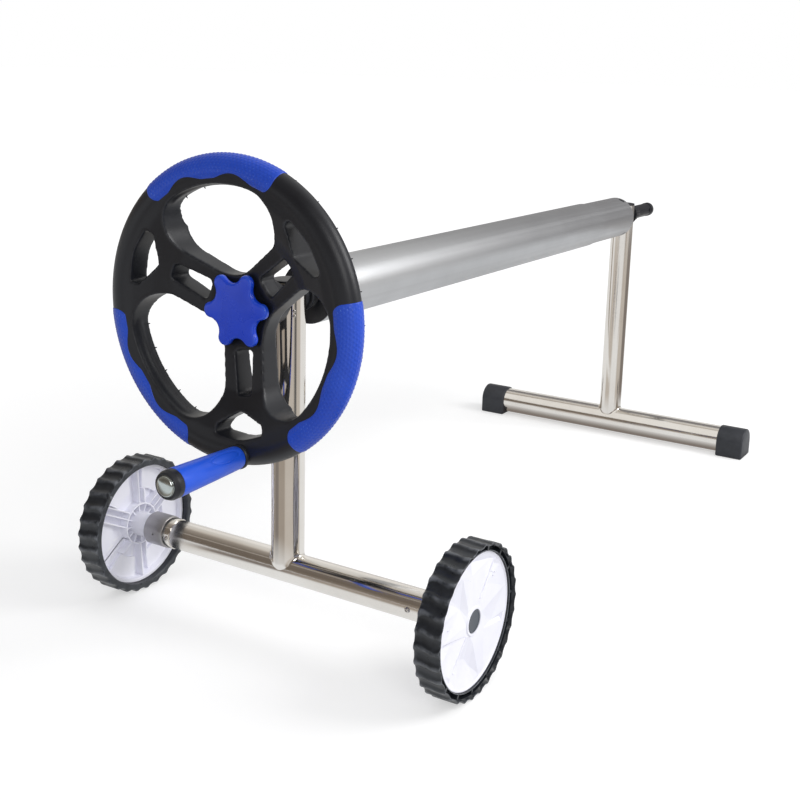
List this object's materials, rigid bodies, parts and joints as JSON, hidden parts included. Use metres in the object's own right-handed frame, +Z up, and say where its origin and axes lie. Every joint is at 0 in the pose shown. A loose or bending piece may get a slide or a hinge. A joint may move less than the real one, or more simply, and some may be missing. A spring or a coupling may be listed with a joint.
{
  "type": "pool cover reel",
  "caption": "Pool cover reel: telescopic aluminium roller on a wheeled steel T stand and a footed T stand, turned by a three-spoke hand wheel with a crank grip and clamping knob.",
  "frame": {"origin": "middle of the footprint on the floor: the bottom centre of the bounding box", "axes": "+Z up; +Y along the roller, from the hand wheel to the idler stand; +X across the stands, to the right when facing along +Y"},
  "size_m": [0.6646, 1.7454, 0.7391],
  "materials": {
    "polished_steel": "polished stainless steel",
    "satin_aluminium": "satin anodised",
    "chrome": "bright chrome",
    "brass": "turned brass",
    "black_plastic": "satin black",
    "blue_grip": "soft dimpled grip",
    "blue_plastic": "glossy royal blue",
    "white_plastic": "semi-gloss white",
    "tyre_rubber": "blue-black rubber",
    "foot_rubber": "dark moulded rubber",
    "grey_plastic": "metallic grey plastic",
    "dark_grey_plastic": "dark grey plastic"
  },
  "bodies": {
    "drive_stand": {"drive_upright": "polished_steel", "drive_upright_cap": "black_plastic", "drive_bush_front": "black_plastic", "drive_bush_back": "black_plastic", "drive_bush_screw_upper": "polished_steel", "drive_bush_screw_lower": "polished_steel", "drive_cross_tube": "polished_steel", "axle_sleeve_left": "grey_plastic", "axle_sleeve_right": "grey_plastic", "axle_left": "polished_steel", "axle_right": "polished_steel", "axle_clip_left": "polished_steel", "axle_clip_right": "polished_steel", "bar_screw_left": "polished_steel", "bar_rivet_right": "polished_steel"},
    "wheel_left": {"tyre_left": "tyre_rubber", "wheel_disc_left": "white_plastic", "hub_cap_left": "dark_grey_plastic"},
    "wheel_right": {"tyre_right": "tyre_rubber", "wheel_disc_right": "white_plastic", "hub_cap_right": "dark_grey_plastic"},
    "roller": {"outer_tube": "satin_aluminium", "drive_end_plug": "black_plastic", "shaft_insert": "brass", "drive_plug_screw_1": "polished_steel", "drive_plug_screw_2": "polished_steel", "drive_plug_screw_3": "polished_steel", "handwheel_body": "black_plastic", "grip_top": "blue_grip", "grip_left": "blue_grip", "grip_right": "blue_grip", "crank_spindle": "polished_steel", "crank_spindle_nut": "polished_steel", "crank_collar": "black_plastic"},
    "crank_grip": {"crank_sleeve": "blue_plastic", "crank_end_ring": "black_plastic", "crank_dome_cap": "chrome"},
    "knob_carrier": {"knob_washer": "polished_steel"},
    "clamping_knob": {"star_knob": "blue_plastic", "knob_stud": "polished_steel"},
    "roller_inner": {"inner_tube": "satin_aluminium", "idler_end_plug": "black_plastic", "idler_crown_ring": "black_plastic", "telescope_bush": "black_plastic"},
    "idler_stand": {"idler_upright": "polished_steel", "idler_upright_cap": "black_plastic", "idler_bush_front": "black_plastic", "idler_bush_back": "black_plastic", "idler_bush_screw_upper": "polished_steel", "idler_bush_screw_lower": "polished_steel", "idler_cross_tube": "polished_steel", "foot_left": "foot_rubber", "foot_right": "foot_rubber"}
  },
  "joints": [
    {"name": "roller_spin", "type": "hinge", "parent": "drive_stand", "child": "roller", "pos_m": [0, -0.5753, 0.526], "axis": [0, 1, 0], "continuous": true},
    {"name": "roller_telescope", "type": "slide", "parent": "roller", "child": "roller_inner", "axis": [0, 1, 0], "range_m": [-0.17, 0.6]},
    {"name": "idler_stand_pivot", "type": "hinge", "parent": "roller_inner", "child": "idler_stand", "pos_m": [0, 0.7127, 0.526], "axis": [0, 1, 0], "continuous": true},
    {"name": "wheel_left_spin", "type": "hinge", "parent": "drive_stand", "child": "wheel_left", "pos_m": [-0.31, -0.5753, 0.11198], "axis": [1, 0, 0], "continuous": true},
    {"name": "wheel_right_spin", "type": "hinge", "parent": "drive_stand", "child": "wheel_right", "pos_m": [0.31, -0.5753, 0.11198], "axis": [1, 0, 0], "continuous": true},
    {"name": "crank_grip_spin", "type": "hinge", "parent": "roller", "child": "crank_grip", "pos_m": [0.02728, -0.7269, 0.33191], "axis": [0, 1, 0], "continuous": true},
    {"name": "knob_travel", "type": "slide", "parent": "roller", "child": "knob_carrier", "axis": [0, -1, 0], "range_m": [0, 0.00451]},
    {"name": "knob_turn", "type": "hinge", "parent": "knob_carrier", "child": "clamping_knob", "pos_m": [0, -0.6833, 0.526], "axis": [0, -1, 0], "range_deg": [0, 1080]}
  ],
  "couplings": [
    {"joint": "idler_stand_pivot", "follows": "roller_spin", "ratio": -1},
    {"joint": "knob_travel", "follows": "knob_turn", "m_per_rad": 0.00023873}
  ]
}
